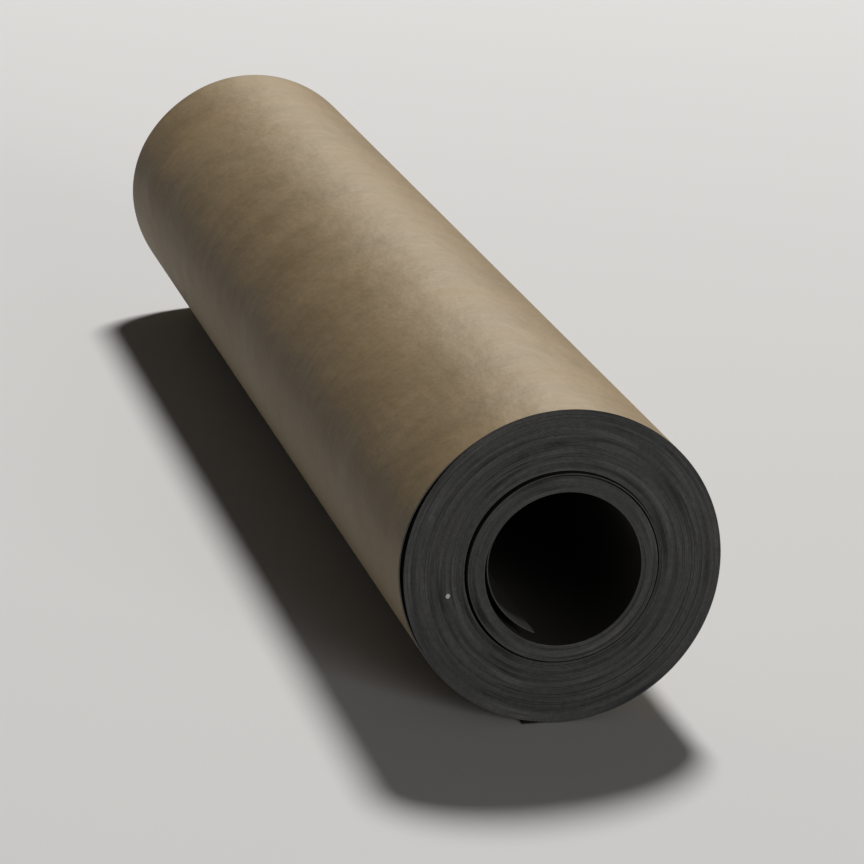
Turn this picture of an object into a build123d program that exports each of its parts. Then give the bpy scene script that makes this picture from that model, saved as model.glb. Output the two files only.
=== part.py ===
from math import acos, cos, degrees, radians, sin
import os

from build123d import *

# A part-used roll of roofing felt, lying on its side.
# +X runs along the roll's axis towards the end that shows, +Y to its right, +Z up.
# The origin is on the floor, under the middle of the roll.
# Angles go round the axis from +Y towards +Z, in degrees. Lengths are in millimetres.

# The sheet and its winding
sheet_width = 914.4
ply = 0.762
turns = 62
bore_diameter = 88.0

# Every turn is one sheet width long, so a band of turns that has slipped along the axis
# stands out at one end of the roll and sinks in at the other.
# The slips go from the bore outwards, first in the loose inner coil, then in the tight winding.
inner_turns = 13
inner_slips = (2.2, 3.0, 2.5)
tight_slips = (0.0, 0.7, 0.2, 0.0, 1.0, 0.4, 0.0, 0.8, 0.3, 0.0, 0.6, 0.1)

# The gap that shows at both ends between the inner coil and the tight winding
coil_gap_width = 1.5
coil_gap_depth = 12.0

# The free end of the sheet: it leaves the roll where the roll touches the floor
# and lies flat for a short way to the left
contact_angle = -90.0
free_end_reach = 20.0

# The outermost turn steps in by one ply before it runs under its own free end
step_lead_angle = 46.0
step_span_angle = 24.0

# The slack in the outermost turn, where it bellies off the roll on the left
slack_middle_angle = 169.0
slack_half_angle = 47.0
slack_lift = 2.3

# The thinnest gap worth opening under the outermost turn, and the angle between curve points
least_gap = 0.15
curve_point_angle = 6.0

bore_radius = bore_diameter / 2
roll_radius = bore_radius + turns * ply
inner_coil_radius = bore_radius + inner_turns * ply
turned_radius = roll_radius - 2 * ply
axis_height = roll_radius
contact_again_angle = contact_angle + 360
step_start_angle = contact_again_angle - step_lead_angle
step_end_angle = step_start_angle + step_span_angle


def bands(inner, outer, slips):
    """Slip, inner radius and outer radius of equal bands that fill a winding."""
    width = (outer - inner) / len(slips)
    return [(slip, inner + i * width, inner + (i + 1) * width) for i, slip in enumerate(slips)]


def smooth(t):
    """A smooth step from 0 to 1 as t goes from 0 to 1, level at both ends."""
    t = min(max(t, 0.0), 1.0)
    return t * t * (3 - 2 * t)


def belly(angle):
    """How far the slack outermost turn stands off the turn below it."""
    return slack_lift * smooth(1 - abs(angle - slack_middle_angle) / slack_half_angle)


def step_in(angle):
    """How far the outside has stepped in, towards the turn that runs under the free end."""
    return ply * smooth((angle - step_start_angle) / step_span_angle)


def at(radius, angle):
    """A point of the cross-section, given round the roll's axis."""
    return radius * cos(radians(angle)), axis_height + radius * sin(radians(angle))


def steps(start, end):
    """Even angles from start to end, both included, about one curve point apart."""
    count = round((end - start) / curve_point_angle)
    return [start + (end - start) * i / count for i in range(count + 1)]


def round_outside():
    """The outermost turn: round from the floor over the top, slack, then one ply further in."""
    slack_start = slack_middle_angle - slack_half_angle
    CenterArc((0, axis_height), roll_radius, contact_angle, slack_start - contact_angle)
    angles = steps(slack_start, step_end_angle)
    Spline(*[at(roll_radius + belly(a) - step_in(a), a) for a in angles])


def under_the_free_end():
    """The turn below the free end, back to the nip, and the free end itself on the floor."""
    below = roll_radius - ply
    nip_angle = contact_again_angle - degrees(acos(1 - least_gap / below))
    CenterArc((0, axis_height), below, step_end_angle, nip_angle - step_end_angle)
    nip = at(below, nip_angle)
    Polyline(nip, (nip[0], ply), (-free_end_reach, ply), (-free_end_reach, 0), (0, 0))


def slack_gap():
    """The crescent that the slack leaves open between the last two turns."""
    below = roll_radius - ply
    slack = steps(slack_middle_angle - slack_half_angle, slack_middle_angle + slack_half_angle)
    angles = [a for a in slack if belly(a) > least_gap]
    start, end = angles[0], angles[-1]
    Spline(*[at(below + belly(a), a) for a in angles])
    CenterArc((0, axis_height), below, start, end - start)
    for a in (start, end):
        Line(at(below, a), at(below + belly(a), a))


with BuildPart() as felt_roll:
    # The winding, turned about the axis, with its bore and its bands of slipped turns
    with BuildSketch(Plane.XZ):
        inner_coil = bands(bore_radius, inner_coil_radius, inner_slips)
        tight_winding = bands(inner_coil_radius, turned_radius, tight_slips)
        for slip, inner, outer in inner_coil + tight_winding:
            with Locations((slip, axis_height + (inner + outer) / 2)):
                Rectangle(sheet_width, outer - inner)
        gap_height = axis_height + inner_coil_radius + coil_gap_width / 2
        with Locations((-sheet_width / 2, gap_height), (sheet_width / 2, gap_height)):
            Rectangle(2 * coil_gap_depth, coil_gap_width, mode=Mode.SUBTRACT)
    revolve(axis=Axis((0, 0, axis_height), (1, 0, 0)))

    # The last turns, with the free end, the slack and the step that no turned shape has
    with BuildSketch(Plane((-sheet_width / 2, 0, 0), x_dir=(0, 1, 0), z_dir=(1, 0, 0))):
        with BuildLine():
            round_outside()
            under_the_free_end()
        make_face()
        with Locations((0, axis_height)):
            Circle(turned_radius - ply, mode=Mode.SUBTRACT)
        with BuildLine():
            slack_gap()
        make_face(mode=Mode.SUBTRACT)
    extrude(amount=sheet_width)

os.makedirs("parts", exist_ok=True)
felt_roll.part.label = "felt_roll"
export_step(felt_roll.part, "parts/felt_roll.step")
print(f"roll {2 * roll_radius:.1f} across, bore {bore_diameter:.1f}, volume {felt_roll.part.volume:.0f}")
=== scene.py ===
# %% [markdown]
# A part-used roll of roofing felt lies on its side. Roofing felt is a heavy paper soaked with bitumen.
# Its outer face has faded to a dusty brown. Further in the sheet is still black, and so are its cut edges,
# which make up the two ends of the roll.
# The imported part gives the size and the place, so the script starts by loading it and keeping its box.

import math
import random

import bpy
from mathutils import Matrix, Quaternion, Vector


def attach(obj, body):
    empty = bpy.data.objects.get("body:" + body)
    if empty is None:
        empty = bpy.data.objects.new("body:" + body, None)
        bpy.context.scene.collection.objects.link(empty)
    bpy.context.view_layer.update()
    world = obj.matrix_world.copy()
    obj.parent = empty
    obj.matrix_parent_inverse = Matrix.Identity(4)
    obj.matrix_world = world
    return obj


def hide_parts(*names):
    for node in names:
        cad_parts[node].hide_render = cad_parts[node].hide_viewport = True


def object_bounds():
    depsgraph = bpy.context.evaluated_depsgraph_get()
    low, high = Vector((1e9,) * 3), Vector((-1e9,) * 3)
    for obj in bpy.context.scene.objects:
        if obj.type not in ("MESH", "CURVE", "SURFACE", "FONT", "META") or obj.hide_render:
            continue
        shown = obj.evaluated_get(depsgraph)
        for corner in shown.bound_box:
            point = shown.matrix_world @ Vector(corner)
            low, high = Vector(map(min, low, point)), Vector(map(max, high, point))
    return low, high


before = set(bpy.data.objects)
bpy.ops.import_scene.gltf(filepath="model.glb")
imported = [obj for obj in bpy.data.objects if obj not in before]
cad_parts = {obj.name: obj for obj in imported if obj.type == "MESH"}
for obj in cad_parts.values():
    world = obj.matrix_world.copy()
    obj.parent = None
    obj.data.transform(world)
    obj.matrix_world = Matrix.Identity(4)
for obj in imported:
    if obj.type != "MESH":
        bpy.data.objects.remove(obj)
cad_box = [list(corner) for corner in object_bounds()]
print("packed part:", [round(1000 * (b - a), 1) for a, b in zip(*cad_box)], "mm")

# %% [markdown]
# A real roll is one sheet wound round and round, and that is how it is modelled here: a flat sheet is made,
# its slack and its crooked winding are worked into it while it is flat, and then it is wound up with a bend.
# Stacked rings would be quicker, but no turn would run into the next, and the free ends would be missing.
# While the sheet is flat no turn lies against another, so each can be shaped without touching its neighbours.
# The sheet stands on end: X runs across its width, Z along its length, and Y is towards the roll's axis.

# %% Sizes of the sheet and of the roll, in metres
sheet_width = 0.9144
sheet_thickness = 0.00072
roll_radius = cad_box[1][2] / 2
bore_radius = 0.044
free_end_length = 0.020
columns_a_turn = 96
wound_columns = 5946
turns = wound_columns / columns_a_turn
mean_radius = (roll_radius + bore_radius) / 2
turn_length = 2 * math.pi * mean_radius
column = turn_length / columns_a_turn
wound_length = wound_columns * column
print(f"{turns:.2f} turns, {wound_length:.1f} m of sheet")

# %% Lay out the flat sheet
spare_columns = 6
columns = wound_columns + spare_columns
flat_length = columns * column
bpy.ops.object.select_all(action="DESELECT")
bpy.ops.mesh.primitive_grid_add(
    x_subdivisions=1, y_subdivisions=columns, size=1, rotation=(math.pi / 2, 0, 0), calc_uvs=True
)
felt = bpy.context.object
felt.name = felt.data.name = "wound_felt"
felt.data.uv_layers[0].name = "along_the_sheet"
bpy.ops.object.transform_apply(location=False, rotation=True, scale=False)
bpy.ops.object.mode_set(mode="EDIT")
bpy.ops.transform.resize(value=(sheet_width, 1, flat_length))
bpy.ops.transform.translate(value=(0, 0, flat_length / 2))
print("flat sheet:", len(felt.data.vertices), "points")

# %% [markdown]
# The sheet is shaped by taking hold of it at one place and moving it, while the sheet on both sides follows
# softly. By hand that is proportional editing. Two helpers do it in code: one selects points by their place,
# the other counts the turns in from the outer end of the winding and moves the sheet there.

# %% Two helpers: choose points by their place, and take hold of the sheet
def choose(wanted):
    """Selects the points whose place passes the test, and nothing else."""
    bpy.ops.object.mode_set(mode="OBJECT")
    mesh = felt.data
    for elements in (mesh.polygons, mesh.edges):
        elements.foreach_set("select", [False] * len(elements))
    mesh.vertices.foreach_set("select", [wanted(v.co) for v in mesh.vertices])
    bpy.ops.object.mode_set(mode="EDIT")
    bpy.ops.mesh.select_mode(type="VERT")


def grab(turns_in, move, reach, falloff="SMOOTH", onwards=0.0):
    """Moves the sheet, across its whole width, at a number of turns in from the end of the winding.

    The sheet follows softly for a reach, in turns, to both sides. With onwards, all of the sheet
    from there for that many turns moves as one: inwards if it is positive, outwards if negative.
    """
    start, end = sorted((turns_in, turns_in + onwards))
    low = wound_length - end * turn_length - column / 2
    high = wound_length - start * turn_length + column / 2
    choose(lambda place: low < place.z < high)
    bpy.ops.transform.translate(
        value=move, use_proportional_edit=True, proportional_edit_falloff=falloff,
        proportional_size=reach * turn_length,
    )


# %% [markdown]
# The bend that winds the sheet turns length into angle, and Y into nearness to the axis. So a sheet
# that drops away from the axis evenly, from its inner end to its outer end, winds into an even spiral.
# Pulling on one end with a straight falloff over the whole length gives that slope in one move.
# The outermost turn gets twice the columns first, because its round outline shows.

# %% Slope the sheet for the spiral
finer_turns = 1.02
outer_part = wound_length - finer_turns * turn_length
choose(lambda place: place.z > outer_part)
bpy.ops.mesh.subdivide(number_cuts=1)
coil_gap = 0.0015
inner_middle = bore_radius + sheet_thickness / 2
outer_middle = roll_radius - sheet_thickness / 2
pitch = (outer_middle - inner_middle - coil_gap) / turns
grab(0, (0, -pitch * turns, 0), turns, "LINEAR", onwards=-1)
bpy.ops.mesh.select_all(action="SELECT")
bpy.ops.transform.translate(value=(0, mean_radius - inner_middle - coil_gap, 0))
print(f"pitch {1000 * pitch:.4f} mm for a sheet of {1000 * sheet_thickness:.2f} mm")

# %% [markdown]
# Three things show that this roll isn't wound tight. A loose inner coil has come away from the tight
# winding and slid a little out of the near end, the innermost turn has sprung off into the bore, and the
# outermost turn bellies off the roll on one side. Angles are in degrees round the axis, from +Y towards +Z.

# %% Loosen the inner coil, the innermost end and the outermost turn
coil_starts = 48.4
coil_loosens_over = 0.5
coil_slides_out = 0.0021
grab(coil_starts + coil_loosens_over / 2, (coil_slides_out, coil_gap, 0), coil_loosens_over, onwards=turns)
inner_end_spring = 0.0050
inner_end_angle = 98
grab(turns, (0, inner_end_spring, 0), inner_end_angle / 360)
slack_lift = 0.0023
slack_middle_angle = 169
slack_half_angle = 47
contact_angle = -90
grab((slack_middle_angle - contact_angle) / 360, (0, -slack_lift, 0), slack_half_angle / 360)
print("the inner coil starts", coil_starts, "turns in")

# %% [markdown]
# Winding is never quite straight. The sheet wanders sideways by up to a millimetre over a few turns, and
# each turn has a small wander of its own, so the ends of the roll show rings that stand out or sink in.
# The wandering is made by taking hold of the flat sheet at many places and pushing it sideways. Its sizes
# are in millimetres, and its reaches in turns.

# %% Let the sheet wander sideways
wander = (0.1, 0.6, 0.0, 0.3, 0.8, 0.0, 0.4, 1.0, 0.0, 0.2, 0.7, 0.0, 0.4, 0.9, 0.1)
first_wander = 3.7
turns_a_wander = 4.1
for i, slip in enumerate(wander):
    grab(first_wander + i * turns_a_wander, (slip / 1000, 0, 0), turns_a_wander)
own_wander = 0.28
shortest_reach, longest_reach = 0.35, 1.1
chance = random.Random(11)
for turn in range(1, round(turns)):
    sideways = chance.uniform(-own_wander, own_wander) / 1000
    grab(turn + chance.random(), (sideways, 0, 0), chance.uniform(shortest_reach, longest_reach))
print("pushed sideways at", len(wander) + round(turns) - 1, "places")

# %% [markdown]
# The free end is cut with a knife and never quite square, so a bisect with a slightly tilted plane cuts it.
# Then Solidify gives the sheet its thickness, and a small bevel softens the cut edges as a blade leaves
# them. Both are done flat, so that every turn keeps the same thickness when it is bent.

# %% Cut the free end to length
cut_slant = 0.0015
bpy.ops.mesh.select_all(action="SELECT")
bpy.ops.mesh.bisect(
    plane_co=(0, 0, wound_length + free_end_length), plane_no=(cut_slant, 0, 1), clear_outer=True
)
bpy.ops.object.mode_set(mode="OBJECT")
print("cut sheet:", [round(1000 * d, 1) for d in felt.dimensions], "mm")


# %% Give the sheet its thickness and its soft edges
def modify(kind, **settings):
    """Adds a modifier to the sheet with these settings and applies it."""
    bpy.ops.object.modifier_add(type=kind)
    modifier = felt.modifiers[-1]
    for name, value in settings.items():
        setattr(modifier, name, value)
    bpy.ops.object.modifier_apply(modifier=modifier.name)


edge_bevel = 0.00012
modify("SOLIDIFY", thickness=sheet_thickness, offset=0)
modify("BEVEL", width=edge_bevel, segments=1, limit_method="ANGLE", angle_limit=math.radians(60))
print("thick sheet:", len(felt.data.polygons), "faces")

# %% [markdown]
# The sheet has three finishes. Only the outer side of the outermost turn has met light and dust, and has
# faded to brown. The rest of both faces is still black, and the cut edges are bare.
# While the sheet is flat, the way a face points and its place along the sheet are enough to tell them apart.

# %% Give the sheet its three finishes
fresh_face = bpy.data.materials.new("fresh_face")
faded_face = bpy.data.materials.new("faded_face")
cut_edge = bpy.data.materials.new("cut_edge")
for material in (fresh_face, faded_face, cut_edge):
    bpy.ops.object.material_slot_add()
    felt.material_slots[-1].material = material
faded_slot, cut_slot = 1, 2
faded_turns = 1.03
least_facing = 0.8


def is_faded(face):
    """Whether a face is on the outer side of the sheet, on the part that is the outermost turn."""
    return face.normal.y < -least_facing and face.center.z > wound_length - faded_turns * turn_length


def is_cut(face):
    """Whether a face is one of the cut edges or their bevels."""
    return abs(face.normal.y) < least_facing


for slot, belongs in ((faded_slot, is_faded), (cut_slot, is_cut)):
    bpy.ops.object.mode_set(mode="EDIT")
    bpy.ops.mesh.select_mode(type="FACE")
    bpy.ops.mesh.select_all(action="DESELECT")
    bpy.ops.object.mode_set(mode="OBJECT")
    for face in felt.data.polygons:
        face.select = belongs(face)
    bpy.ops.object.mode_set(mode="EDIT")
    felt.active_material_index = slot
    bpy.ops.object.material_slot_assign()
    bpy.ops.object.mode_set(mode="OBJECT")
    given = sum(face.material_index == slot for face in felt.data.polygons)
    print(felt.material_slots[slot].name, given, "faces")

# %% [markdown]
# Simple Deform's bend winds the whole sheet at once, and its limits leave the free end straight.
# The roll is then turned until the free end leaves it at the floor, and set down. Each move is applied, so
# the finished roll sits at the origin with its place in its mesh.

# %% Wind the sheet
winding_angle = turns * 2 * math.pi
modify(
    "SIMPLE_DEFORM", deform_method="BEND", deform_axis="X", angle=winding_angle,
    limits=(0, wound_length / (wound_length + free_end_length)),
)
felt.select_set(True)
bpy.ops.transform.translate(value=(0, -mean_radius, 0))
bpy.ops.object.transform_apply(location=True, rotation=False, scale=False)
print("wound:", [round(1000 * d, 1) for d in felt.dimensions], "mm")

# %% Turn the roll and set it down
end_angle = math.pi - winding_angle
felt.rotation_euler = (-math.pi / 2 - end_angle, 0, 0)
felt.location = (0, 0, roll_radius)
bpy.ops.object.transform_apply(location=True, rotation=True, scale=False)
lowest = min(v.co.z for v in felt.data.vertices)
felt.location = (0, 0, -lowest)
bpy.ops.object.transform_apply(location=True, rotation=False, scale=False)
print(f"lowest point was {1000 * lowest:.3f} mm, size", [round(1000 * d, 2) for d in felt.dimensions])

# %% Finish the surface of the roll
bpy.ops.object.mode_set(mode="EDIT")
bpy.ops.mesh.select_all(action="SELECT")
bpy.ops.mesh.normals_make_consistent(inside=False)
bpy.ops.object.mode_set(mode="OBJECT")
bpy.ops.object.shade_smooth_by_angle(angle=math.radians(30))
felt.data.calc_loop_triangles()
print("triangles:", len(felt.data.loop_triangles))

# %% [markdown]
# The sheet's own map, which the patterns follow, runs evenly along all of its 26 metres. That is right for
# patterns, but a picture baked through it would spend nearly all its room on turns that nobody sees.
# So the roll gets a second map, on which the outermost turn and the two ends are large, and every hidden
# face lies on one small square. It is named OFBake.

# %% The fields of the second map: left, bottom, width and height
spare_turns = 0.05
faded_from = 1 - (faded_turns + spare_turns) * turn_length / flat_length
bore_to = (1 + spare_turns) * turn_length / flat_length
end_facing = 0.3
fields = {
    "faded": (0.005, 0.005, 0.580, 0.875),
    "bore": (0.005, 0.890, 0.580, 0.100),
    "near end": (0.595, 0.005, 0.400, 0.400),
    "far end": (0.595, 0.415, 0.400, 0.400),
    "outer cut": (0.595, 0.830, 0.400, 0.010),
    "inner cut": (0.595, 0.850, 0.400, 0.010),
    "hidden": (0.900, 0.880, 0.030, 0.030),
}


def field_of(face, middle_v):
    """Which field a face belongs to, told by its finish, its side and its place along the sheet."""
    if face.material_index == cut_slot:
        if abs(face.normal.x) > end_facing:
            return "near end" if face.center.x > 0 else "far end"
        return "outer cut" if middle_v > 0.5 else "inner cut"
    if face.material_index == faded_slot:
        return "faded"
    from_axis = face.center - Vector((face.center.x, 0, roll_radius))
    in_bore = middle_v < bore_to and face.normal.dot(from_axis) < 0
    return "bore" if in_bore else "hidden"


# %% Where a corner of a face lies in its field
half_end = 0.096
inner_end_radius = bore_radius - inner_end_spring


def share(value, low, high):
    """Where a value lies between two others, from 0 to 1."""
    return min(max((value - low) / (high - low), 0.0), 1.0)


def spot(field, corner, across, along, middle_v):
    """The place of a corner in its field, from 0 to 1 to the right and upwards."""
    y, z = corner.y, corner.z - roll_radius
    if field == "faded":
        return across, share(along, faded_from, 1)
    if field == "bore":
        return across, share(along, 0, bore_to)
    if field.endswith("end"):
        return share(y, -half_end, half_end), share(z, -half_end, half_end)
    if field == "outer cut":
        return across, share(corner.z, 0, sheet_thickness)
    if field == "inner cut":
        return across, share(math.hypot(y, z), inner_end_radius, inner_end_radius + sheet_thickness)
    return across, along * columns - math.floor(middle_v * columns)


# %% Lay the roll out on the second map
felt.data.uv_layers.new(name="OFBake", do_init=False)
sheet_uv = felt.data.uv_layers["along_the_sheet"].uv
bake_uv = felt.data.uv_layers["OFBake"].uv
counts = dict.fromkeys(fields, 0)
for face in felt.data.polygons:
    middle_v = sum(sheet_uv[i].vector.y for i in face.loop_indices) / len(face.loop_indices)
    field = field_of(face, middle_v)
    counts[field] += 1
    left, bottom, width, height = fields[field]
    for loop, vertex in zip(face.loop_indices, face.vertices):
        corner = felt.data.vertices[vertex].co
        right, up = spot(field, corner, *sheet_uv[loop].vector, middle_v)
        bake_uv[loop].vector = (left + width * right, bottom + height * up)
print("faces in each field of the map:", counts)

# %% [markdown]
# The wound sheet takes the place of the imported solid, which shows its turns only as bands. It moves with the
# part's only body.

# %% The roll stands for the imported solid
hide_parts("felt_roll")
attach(felt, "root")
print("replaced felt_roll with", felt.name)

# %% [markdown]
# All three finishes show the same paper: its faces, fresh and faded, and its cut edges. What they share goes
# into two node groups, one for the short fibres of the paper and one for the dust that lies on it.
# The groups are built once and placed in each material with that material's own values.

# %% Helpers for nodes
def node(tree, kind, place, inputs=(), **settings):
    """Adds a node, with its settings and the values of its inputs, and returns it."""
    made = tree.nodes.new(kind)
    made.location = place
    for name, value in settings.items():
        setattr(made, name, value)
    for name, value in dict(inputs).items():
        made.inputs[name].default_value = value
    return made


def link(source, target):
    """Joins an output socket to an input socket of the same tree."""
    source.id_data.links.new(source, target)


def group(name, inputs, outputs):
    """Starts a node group with these named sockets, and returns it with its two end nodes."""
    tree = bpy.data.node_groups.new(name, "ShaderNodeTree")
    for socket, kind, value in inputs:
        made = tree.interface.new_socket(socket, in_out="INPUT", socket_type=kind)
        if value is not None:
            made.default_value = value
    for socket, kind in outputs:
        tree.interface.new_socket(socket, in_out="OUTPUT", socket_type=kind)
    return tree, node(tree, "NodeGroupInput", (-900, 0)), node(tree, "NodeGroupOutput", (600, 0))


# %% Node group: the fibres of the paper
fibres, fibres_in, fibres_out = group(
    "paper_fibres",
    [("Vector", "NodeSocketVector", None), ("Fibres per metre", "NodeSocketFloat", 900.0)],
    [("Tone", "NodeSocketFloat"), ("Height", "NodeSocketFloat")],
)
middle = {"From Min": 0.3, "From Max": 0.7}
fine = node(fibres, "ShaderNodeTexNoise", (-500, 150), {"Detail": 4.0, "Roughness": 0.6})
coarse_scale = node(fibres, "ShaderNodeMath", (-700, -150), {1: 0.22}, operation="MULTIPLY")
coarse = node(fibres, "ShaderNodeTexNoise", (-500, -150), {"Detail": 3.0, "Distortion": 0.6})
both = node(fibres, "ShaderNodeMix", (-200, 0), {"Factor": 0.45}, data_type="FLOAT")
spread = node(fibres, "ShaderNodeMapRange", (100, 0), middle)
link(fibres_in.outputs["Vector"], fine.inputs["Vector"])
link(fibres_in.outputs["Vector"], coarse.inputs["Vector"])
link(fibres_in.outputs["Fibres per metre"], fine.inputs["Scale"])
link(fibres_in.outputs["Fibres per metre"], coarse_scale.inputs[0])
link(coarse_scale.outputs["Value"], coarse.inputs["Scale"])
link(fine.outputs["Fac"], both.inputs["A"])
link(coarse.outputs["Fac"], both.inputs["B"])
link(both.outputs["Result"], spread.inputs["Value"])
link(spread.outputs["Result"], fibres_out.inputs["Tone"])
link(both.outputs["Result"], fibres_out.inputs["Height"])
print("group", fibres.name, len(fibres.nodes), "nodes")

# %% Node group: settled dust
dust, dust_in, dust_out = group(
    "settled_dust",
    [
        ("Vector", "NodeSocketVector", None),
        ("Patches per metre", "NodeSocketFloat", 12.0),
        ("Cover", "NodeSocketFloat", 0.3),
    ],
    [("Mask", "NodeSocketFloat")],
)
patches = node(dust, "ShaderNodeTexNoise", (-600, 150), {"Detail": 6.0, "Roughness": 0.65})
specks = node(dust, "ShaderNodeTexNoise", (-600, -150), {"Scale": 650.0, "Detail": 2.0})
patchy = node(dust, "ShaderNodeMapRange", (-350, 150), {"From Min": 0.4, "From Max": 0.75})
speckled = node(dust, "ShaderNodeMapRange", (-350, -150), {"From Min": 0.35, "From Max": 0.7})
meet = node(dust, "ShaderNodeMath", (-100, 0), operation="MULTIPLY")
cover = node(dust, "ShaderNodeMath", (150, 0), operation="MULTIPLY", use_clamp=True)
link(dust_in.outputs["Vector"], patches.inputs["Vector"])
link(dust_in.outputs["Vector"], specks.inputs["Vector"])
link(dust_in.outputs["Patches per metre"], patches.inputs["Scale"])
link(patches.outputs["Fac"], patchy.inputs["Value"])
link(specks.outputs["Fac"], speckled.inputs["Value"])
link(patchy.outputs["Result"], meet.inputs[0])
link(speckled.outputs["Result"], meet.inputs[1])
link(meet.outputs["Value"], cover.inputs[0])
link(dust_in.outputs["Cover"], cover.inputs[1])
link(cover.outputs["Value"], dust_out.inputs["Mask"])
print("group", dust.name, len(dust.nodes), "nodes")

# %% [markdown]
# Every finish starts in the same way. Most patterns follow the sheet, so they read the sheet's own map,
# which a Mapping node scales to metres. The mill draws its patterns out along the sheet, so a helper makes
# noise that is stretched.

# %% Start a material, and make noise that follows the sheet
outer_turn_stretch = roll_radius / mean_radius


def start(material):
    """Clears a material and gives it a shader. Returns its tree, the shader and the place on the sheet."""
    material.use_nodes = True
    tree = material.node_tree
    tree.nodes.clear()
    output = node(tree, "ShaderNodeOutputMaterial", (900, 0))
    shader = node(tree, "ShaderNodeBsdfPrincipled", (600, 0))
    sheet_map = node(tree, "ShaderNodeUVMap", (-1500, 0), uv_map="along_the_sheet")
    metres = node(tree, "ShaderNodeMapping", (-1300, 0))
    metres.inputs["Scale"].default_value = (sheet_width, flat_length * outer_turn_stretch, 1)
    link(shader.outputs["BSDF"], output.inputs["Surface"])
    link(sheet_map.outputs["UV"], metres.inputs["Vector"])
    return tree, shader, metres.outputs["Vector"]


def stretched_noise(tree, vector, scale, place, **inputs):
    """Noise that is stretched: its scale across, along and through the sheet, per metre."""
    squeeze = node(tree, "ShaderNodeMapping", (place[0] - 200, place[1]))
    squeeze.inputs["Scale"].default_value = scale
    noise = node(tree, "ShaderNodeTexNoise", place, {"Scale": 1.0, **inputs})
    link(vector, squeeze.inputs["Vector"])
    link(squeeze.outputs["Vector"], noise.inputs["Vector"])
    return noise.outputs["Fac"]


def fibrous(tree, vector, fibres_per_metre, place, **tones):
    """Places the fibres of the paper, and returns their height and their tone between two values."""
    paper = node(tree, "ShaderNodeGroup", place, node_tree=fibres)
    paper.inputs["Fibres per metre"].default_value = fibres_per_metre
    tone = node(tree, "ShaderNodeMapRange", (place[0] + 250, place[1]))
    tone.inputs["To Min"].default_value = tones["darkest"]
    tone.inputs["To Max"].default_value = tones["lightest"]
    link(vector, paper.inputs["Vector"])
    link(paper.outputs["Tone"], tone.inputs["Value"])
    return paper.outputs["Height"], tone.outputs["Result"]


def shades(tree, fac, place, *stops):
    """A colour ramp from a value, with two stops of a position and a colour each."""
    ramp = node(tree, "ShaderNodeValToRGB", place)
    for element, (position, colour) in zip(ramp.color_ramp.elements, stops):
        element.position = position
        element.color = (*colour, 1)
    link(fac, ramp.inputs["Fac"])
    return ramp.outputs["Color"]


# %% [markdown]
# The faded face of the felt is brown and cloudy, with faint streaks that run along the sheet, so round the
# roll, as the rollers of the mill leave them. Clouds set the colour, and streaks, bands and fibres only make
# it a little lighter or darker.

# %% The faded face: its colour
tree, shader, on_sheet = start(faded_face)
cloudy = stretched_noise(tree, on_sheet, (14, 9, 1), (-800, 500), Detail=6.0, Roughness=0.62)
streaky = stretched_noise(tree, on_sheet, (210, 2.2, 1), (-800, 250), Detail=3.0)
banded = stretched_noise(tree, on_sheet, (17, 0.8, 1), (-800, 0), Detail=2.0)
clouds = shades(tree, cloudy, (-550, 500), (0.25, (0.226, 0.151, 0.067)), (0.75, (0.308, 0.207, 0.097)))
streak_tone = node(tree, "ShaderNodeMapRange", (-550, 250), {**middle, "To Min": 0.95, "To Max": 1.05})
band_tone = node(tree, "ShaderNodeMapRange", (-550, 0), {**middle, "To Min": 0.96, "To Max": 1.04})
lines = node(tree, "ShaderNodeMath", (-350, 120), operation="MULTIPLY")
paper_height, paper_tone = fibrous(tree, on_sheet, 1100, (-800, -250), darkest=0.86, lightest=1.12)
tones = node(tree, "ShaderNodeMath", (-200, 0), operation="MULTIPLY")
toned = node(tree, "ShaderNodeMix", (0, 300), {"Factor": 1.0}, data_type="RGBA", blend_type="MULTIPLY")
link(streaky, streak_tone.inputs["Value"])
link(banded, band_tone.inputs["Value"])
link(streak_tone.outputs["Result"], lines.inputs[0])
link(band_tone.outputs["Result"], lines.inputs[1])
link(lines.outputs["Value"], tones.inputs[0])
link(paper_tone, tones.inputs[1])
link(clouds, toned.inputs["A"])
link(tones.outputs["Value"], toned.inputs["B"])
print("colour of", faded_face.name, "has", len(tree.nodes), "nodes")

# %% [markdown]
# Dust lies on the faded face in loose patches. Bitumen gives the paper a broad soft sheen at low angles, and
# damp has cockled it, so the sheen breaks up into wide waves and dimples. Bump nodes in a row add them to
# the fibres: each takes the normal of the one before it.

# %% The faded face: its dust, its sheen and its relief
powder = node(tree, "ShaderNodeGroup", (-300, -250), node_tree=dust)
powder.inputs["Patches per metre"].default_value = 9
powder.inputs["Cover"].default_value = 0.35
dusted = node(tree, "ShaderNodeMix", (250, 200), data_type="RGBA")
dusted.inputs["B"].default_value = (0.39, 0.31, 0.205, 1)
gloss = node(tree, "ShaderNodeMapRange", (250, -100), {**middle, "To Min": 0.57, "To Max": 0.65})
waves = stretched_noise(tree, on_sheet, (7, 5, 1), (-800, -500), Detail=1.0)
wave_relief = node(tree, "ShaderNodeBump", (50, -300), {"Strength": 1.0, "Distance": 0.0005})
dimples = stretched_noise(tree, on_sheet, (38, 52, 1), (-800, -750), Detail=4.0, Roughness=0.5)
dimple_relief = node(tree, "ShaderNodeBump", (250, -300), {"Strength": 1.0, "Distance": 0.0012})
fibre_relief = node(tree, "ShaderNodeBump", (450, -300), {"Strength": 0.6, "Distance": 0.00012})
link(on_sheet, powder.inputs["Vector"])
link(toned.outputs["Result"], dusted.inputs["A"])
link(powder.outputs["Mask"], dusted.inputs["Factor"])
link(dusted.outputs["Result"], shader.inputs["Base Color"])
link(cloudy, gloss.inputs["Value"])
link(gloss.outputs["Result"], shader.inputs["Roughness"])
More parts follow.
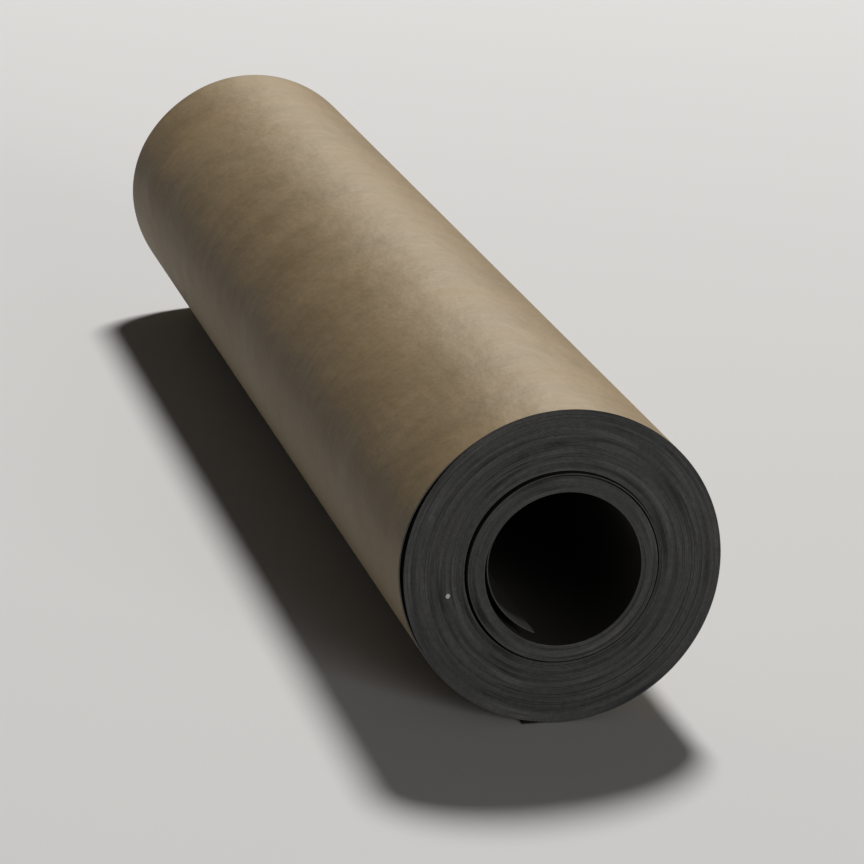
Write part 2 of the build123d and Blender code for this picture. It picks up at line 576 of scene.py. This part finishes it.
link(waves, wave_relief.inputs["Height"])
link(dimples, dimple_relief.inputs["Height"])
link(paper_height, fibre_relief.inputs["Height"])
link(wave_relief.outputs["Normal"], dimple_relief.inputs["Normal"])
link(dimple_relief.outputs["Normal"], fibre_relief.inputs["Normal"])
link(fibre_relief.outputs["Normal"], shader.inputs["Normal"])
shader.inputs["IOR"].default_value = 1.6
shader.inputs["Specular IOR Level"].default_value = 0.78
shader.inputs["Specular Tint"].default_value = (1.0, 0.91, 0.73, 1)
print("material", faded_face.name, len(tree.nodes), "nodes")

# %% [markdown]
# The fresh face, which the bore shows, is the black of bitumen with the fibres of the paper just showing.
# A strip at the corner of the inner end of the sheet, where it sticks out into the mouth of the bore, is
# painted a lighter grey: a painted highlight for the light that the sprung end catches. The sheet's own map
# tells how near a point is to that corner.

# %% The fresh face: its black and its fibres
tree, shader, on_sheet = start(fresh_face)
paper_height, paper_tone = fibrous(tree, on_sheet, 900, (-800, 0), darkest=0.0, lightest=1.0)
black = shades(tree, paper_tone, (-400, 200), (0.0, (0.036, 0.033, 0.029)), (1.0, (0.054, 0.049, 0.043)))
fibre_relief = node(tree, "ShaderNodeBump", (250, -200), {"Strength": 0.6, "Distance": 0.00012})
link(paper_height, fibre_relief.inputs["Height"])
link(fibre_relief.outputs["Normal"], shader.inputs["Normal"])
shader.inputs["Roughness"].default_value = 0.65
print("black of", fresh_face.name, "has", len(tree.nodes), "nodes")

# %% The fresh face: a painted highlight on the corner of its inner end
highlight_width = 0.018
highlight_length = 0.105 * turn_length * outer_turn_stretch
side_range = {"From Min": sheet_width - 1.3 * highlight_width, "From Max": sheet_width - 0.5 * highlight_width}
end_range = {"From Min": 1.25 * highlight_length, "From Max": 0.75 * highlight_length}
corner = node(tree, "ShaderNodeSeparateXYZ", (-1000, -300))
near_side = node(tree, "ShaderNodeMapRange", (-800, -250), side_range)
near_end = node(tree, "ShaderNodeMapRange", (-800, -500), end_range)
highlight_mask = node(tree, "ShaderNodeMath", (-550, -350), operation="MULTIPLY")
highlight_fibre_tone = node(tree, "ShaderNodeMapRange", (-350, -50), {"To Min": 0.55, "To Max": 1.0})
painted_highlight = node(tree, "ShaderNodeMath", (-150, -250), operation="MULTIPLY", use_clamp=True)
# Painted highlight: a lighter grey, broken up by the fibres, is mixed in at the corner of the inner end.
highlighted = node(tree, "ShaderNodeMix", (50, 100), data_type="RGBA")
highlighted.inputs["B"].default_value = (0.24, 0.235, 0.225, 1)
link(on_sheet, corner.inputs["Vector"])
link(corner.outputs["X"], near_side.inputs["Value"])
link(corner.outputs["Y"], near_end.inputs["Value"])
link(near_side.outputs["Result"], highlight_mask.inputs[0])
link(near_end.outputs["Result"], highlight_mask.inputs[1])
link(paper_tone, highlight_fibre_tone.inputs["Value"])
link(highlight_mask.outputs["Value"], painted_highlight.inputs[0])
link(highlight_fibre_tone.outputs["Result"], painted_highlight.inputs[1])
link(black, highlighted.inputs["A"])
link(painted_highlight.outputs["Value"], highlighted.inputs["Factor"])
link(highlighted.outputs["Result"], shader.inputs["Base Color"])
print("material", fresh_face.name, len(tree.nodes), "nodes")

# %% [markdown]
# The cut edges are bare bitumen-soaked paper, so they are almost black. One noise gives each turn a shade of
# its own along the sheet. A second one changes fast with the distance from the axis and slowly round it, so
# its patches are arcs a few turns wide: painted light and shade, lighter arcs for the light that groups of
# turns standing proud of the end catch, and darker ones for the shade between them. A third noise says on
# which parts of the ends the arcs show.
# The last two follow the shape of the roll and not the sheet, so they read the place on the object.

# %% The cut edges: painted light and shade in arcs round the axis
tree, shader, on_sheet = start(cut_edge)
on_object = node(tree, "ShaderNodeTexCoord", (-1900, 500)).outputs["Object"]
from_axis = node(tree, "ShaderNodeMapping", (-1700, 700))
from_axis.inputs["Location"].default_value = (0, 0, -roll_radius)
from_axis.inputs["Scale"].default_value = (0, 1, 1)
radius = node(tree, "ShaderNodeVectorMath", (-1500, 800), operation="LENGTH")
arcs_per_metre = node(tree, "ShaderNodeMath", (-1300, 800), {1: 330.0}, operation="MULTIPLY")
outwards = node(tree, "ShaderNodeCombineXYZ", (-1150, 800))
round_axis = node(tree, "ShaderNodeVectorMath", (-1300, 650), {"Scale": 16.0}, operation="SCALE")
polar = node(tree, "ShaderNodeVectorMath", (-1000, 750), operation="ADD")
# Painted light and shade: lighter and darker arcs for turns that stand proud and the gaps between them.
arc_light_and_shade = node(tree, "ShaderNodeTexNoise", (-850, 750), {"Scale": 1.0, "Detail": 2.0, "Roughness": 0.6})
link(on_object, from_axis.inputs["Vector"])
link(from_axis.outputs["Vector"], radius.inputs[0])
link(radius.outputs["Value"], arcs_per_metre.inputs[0])
link(arcs_per_metre.outputs["Value"], outwards.inputs["X"])
link(from_axis.outputs["Vector"], round_axis.inputs[0])
link(outwards.outputs["Vector"], polar.inputs[0])
link(round_axis.outputs["Vector"], polar.inputs[1])
link(polar.outputs["Vector"], arc_light_and_shade.inputs["Vector"])
print("arcs of", cut_edge.name, "have", len(tree.nodes), "nodes")

# %% The cut edges: the shade of each turn, and the painted arcs of light and shade
turn_tone = stretched_noise(tree, on_sheet, (0, 4.5, 0), (-1000, 500), Detail=4.0, Roughness=0.7)
patch = stretched_noise(tree, on_object, (24, 24, 24), (-1000, 250), Detail=2.0)
patch_range = {"From Min": 0.38, "From Max": 0.62, "To Min": 0.2, "To Max": 1.0}
patch_strength = node(tree, "ShaderNodeMapRange", (-800, 250), patch_range)
both_tones = node(tree, "ShaderNodeMix", (-700, 600), {"Factor": 0.6}, data_type="FLOAT")
# The painted arcs of light and shade are mixed into each turn's own shade where the patches let them show.
arcs = node(tree, "ShaderNodeMix", (-600, 450), {"A": 0.5}, data_type="FLOAT")
link(turn_tone, both_tones.inputs["A"])
link(arc_light_and_shade.outputs["Fac"], both_tones.inputs["B"])
link(patch, patch_strength.inputs["Value"])
link(patch_strength.outputs["Result"], arcs.inputs["Factor"])
link(both_tones.outputs["Result"], arcs.inputs["B"])
darker, lighter = (0.38, (0.016, 0.016, 0.017)), (0.62, (0.130, 0.128, 0.124))
edge_shade = shades(tree, arcs.outputs["Result"], (-400, 400), darker, lighter)
print("shade of", cut_edge.name, "has", len(tree.nodes), "nodes")

# %% [markdown]
# The fibres stand up from the cut, and a little dust has settled on them. One small white speck sticks to
# the near end, on the left: a distance from its place, and a limit, are enough to draw it.

# %% The cut edges: fibres, dust and one white speck
speck_place = (0.4575, -0.0648, 0.0777)
speck_radius = 0.0014
paper_height, paper_tone = fibrous(tree, on_object, 1600, (-800, 50), darkest=0.6, lightest=1.35)
furry = node(tree, "ShaderNodeMix", (-100, 300), {"Factor": 1.0}, data_type="RGBA", blend_type="MULTIPLY")
powder = node(tree, "ShaderNodeGroup", (-800, -150), node_tree=dust)
powder.inputs["Patches per metre"].default_value = 30
powder.inputs["Cover"].default_value = 0.22
dusted = node(tree, "ShaderNodeMix", (100, 200), data_type="RGBA")
dusted.inputs["B"].default_value = (0.15, 0.135, 0.11, 1)
away = node(tree, "ShaderNodeVectorMath", (-800, -400), operation="DISTANCE")
away.inputs[1].default_value = speck_place
on_speck = node(tree, "ShaderNodeMath", (-550, -400), {1: speck_radius}, operation="LESS_THAN")
specked = node(tree, "ShaderNodeMix", (300, 200), data_type="RGBA")
specked.inputs["B"].default_value = (0.75, 0.74, 0.70, 1)
link(edge_shade, furry.inputs["A"])
link(paper_tone, furry.inputs["B"])
link(on_object, powder.inputs["Vector"])
link(furry.outputs["Result"], dusted.inputs["A"])
link(powder.outputs["Mask"], dusted.inputs["Factor"])
link(on_object, away.inputs[0])
link(away.outputs["Value"], on_speck.inputs[0])
link(on_speck.outputs["Value"], specked.inputs["Factor"])
link(dusted.outputs["Result"], specked.inputs["A"])
link(specked.outputs["Result"], shader.inputs["Base Color"])
print("colour of", cut_edge.name, "has", len(tree.nodes), "nodes")

# %% The cut edges: relief and gloss
edge_relief = node(tree, "ShaderNodeBump", (250, -200), {"Strength": 0.8, "Distance": 0.0002})
link(paper_height, edge_relief.inputs["Height"])
link(edge_relief.outputs["Normal"], shader.inputs["Normal"])
shader.inputs["Roughness"].default_value = 0.7
shader.inputs["Specular IOR Level"].default_value = 0.35
print("material", cut_edge.name, len(tree.nodes), "nodes")

# %% [markdown]
# The scene is a plain pale floor in a plain studio. The floor is pale where the camera sees it, by itself or
# mirrored, and darker for the light that it throws back on the roll, so that the roll keeps a shaded side.
# Light Path tells the two apart.

# %% Floor
bpy.ops.object.select_all(action="DESELECT")
bpy.ops.mesh.primitive_plane_add(size=40)
floor = bpy.context.object
floor.name = "floor"
pale = bpy.data.materials.new("pale_floor")
pale.use_nodes = True
tree = pale.node_tree
floor_shader = tree.nodes["Principled BSDF"]
floor_shader.inputs["Roughness"].default_value = 0.9
floor_shader.inputs["Specular IOR Level"].default_value = 0.2
ray = node(tree, "ShaderNodeLightPath", (-800, 0))
seen_or_mirrored = node(tree, "ShaderNodeMath", (-600, 0), operation="MAXIMUM")
seen = node(tree, "ShaderNodeMath", (-400, 0), operation="MAXIMUM")
tone = node(tree, "ShaderNodeMix", (-200, 0), data_type="RGBA")
tone.inputs["A"].default_value = (0.18, 0.18, 0.18, 1)
tone.inputs["B"].default_value = (0.70, 0.69, 0.67, 1)
link(ray.outputs["Is Camera Ray"], seen_or_mirrored.inputs[0])
link(ray.outputs["Is Glossy Ray"], seen_or_mirrored.inputs[1])
link(seen_or_mirrored.outputs["Value"], seen.inputs[0])
link(ray.outputs["Is Transmission Ray"], seen.inputs[1])
link(seen.outputs["Value"], tone.inputs["Factor"])
link(tone.outputs["Result"], floor_shader.inputs["Base Color"])
floor.data.materials.append(pale)
print("floor:", [round(d) for d in floor.dimensions[:2]], "m")

# %% [markdown]
# The main lamp stands behind the far end, high and a little to the right, so the near end is in shade and
# the shadow falls to the left and towards the camera. A weak lamp in front lifts the near end out of the
# dark. Both stand far away, so that they light the floor and the roll evenly.

# %% Lamps and room light
def soft_lamp(name, way, distance, size, level):
    """A round lamp that shines on the roll from this way. At level 1 a colour facing it shows as it is."""
    way = Vector(way).normalized()
    bpy.ops.object.light_add(type="AREA", location=way * distance)
    lamp = bpy.context.object
    lamp.name = name
    lamp.rotation_euler = way.to_track_quat("Z", "Y").to_euler()
    lamp.data.shape = "DISK"
    lamp.data.size = size
    lamp.data.energy = level * math.pi ** 2 * distance ** 2
    lamp.visible_camera = False
    print(name, round(lamp.data.energy), "W at", [round(x, 2) for x in lamp.location])


soft_lamp("main_lamp", (-0.561, 0.235, 0.794), distance=14.0, size=2.8, level=1.0)
soft_lamp("front_fill", (0.95, 0.25, 0.20), distance=8.0, size=3.2, level=0.28)
room = bpy.data.worlds.new("studio")
bpy.context.scene.world = room
room.use_nodes = True
room.node_tree.nodes["Background"].inputs["Color"].default_value = (0.04, 0.04, 0.04, 1)
room.node_tree.nodes["Background"].inputs["Strength"].default_value = 1.0

# %% [markdown]
# The camera stands where the photograph was taken from, seen from the roll. It is turned to the roll and has
# a long lens, so that the roll fills the picture and its perspective stays the same.

# %% Camera
camera_place = Vector((2.33359, -0.54781, 0.75157))
aim = Vector((0.150, 0.0, 0.077))
camera_roll = math.radians(2.2)
bpy.ops.object.camera_add(location=camera_place)
camera = bpy.context.object
camera.name = "camera"
level_view = (aim - camera_place).to_track_quat("-Z", "Y")
camera.rotation_euler = (level_view @ Quaternion((0, 0, 1), camera_roll)).to_euler()
camera.data.lens = 156
camera.data.clip_start = 0.05
bpy.context.scene.camera = camera
bpy.context.scene.view_settings.view_transform = "Standard"
print("camera is", round((aim - camera_place).length, 2), "m from the roll")
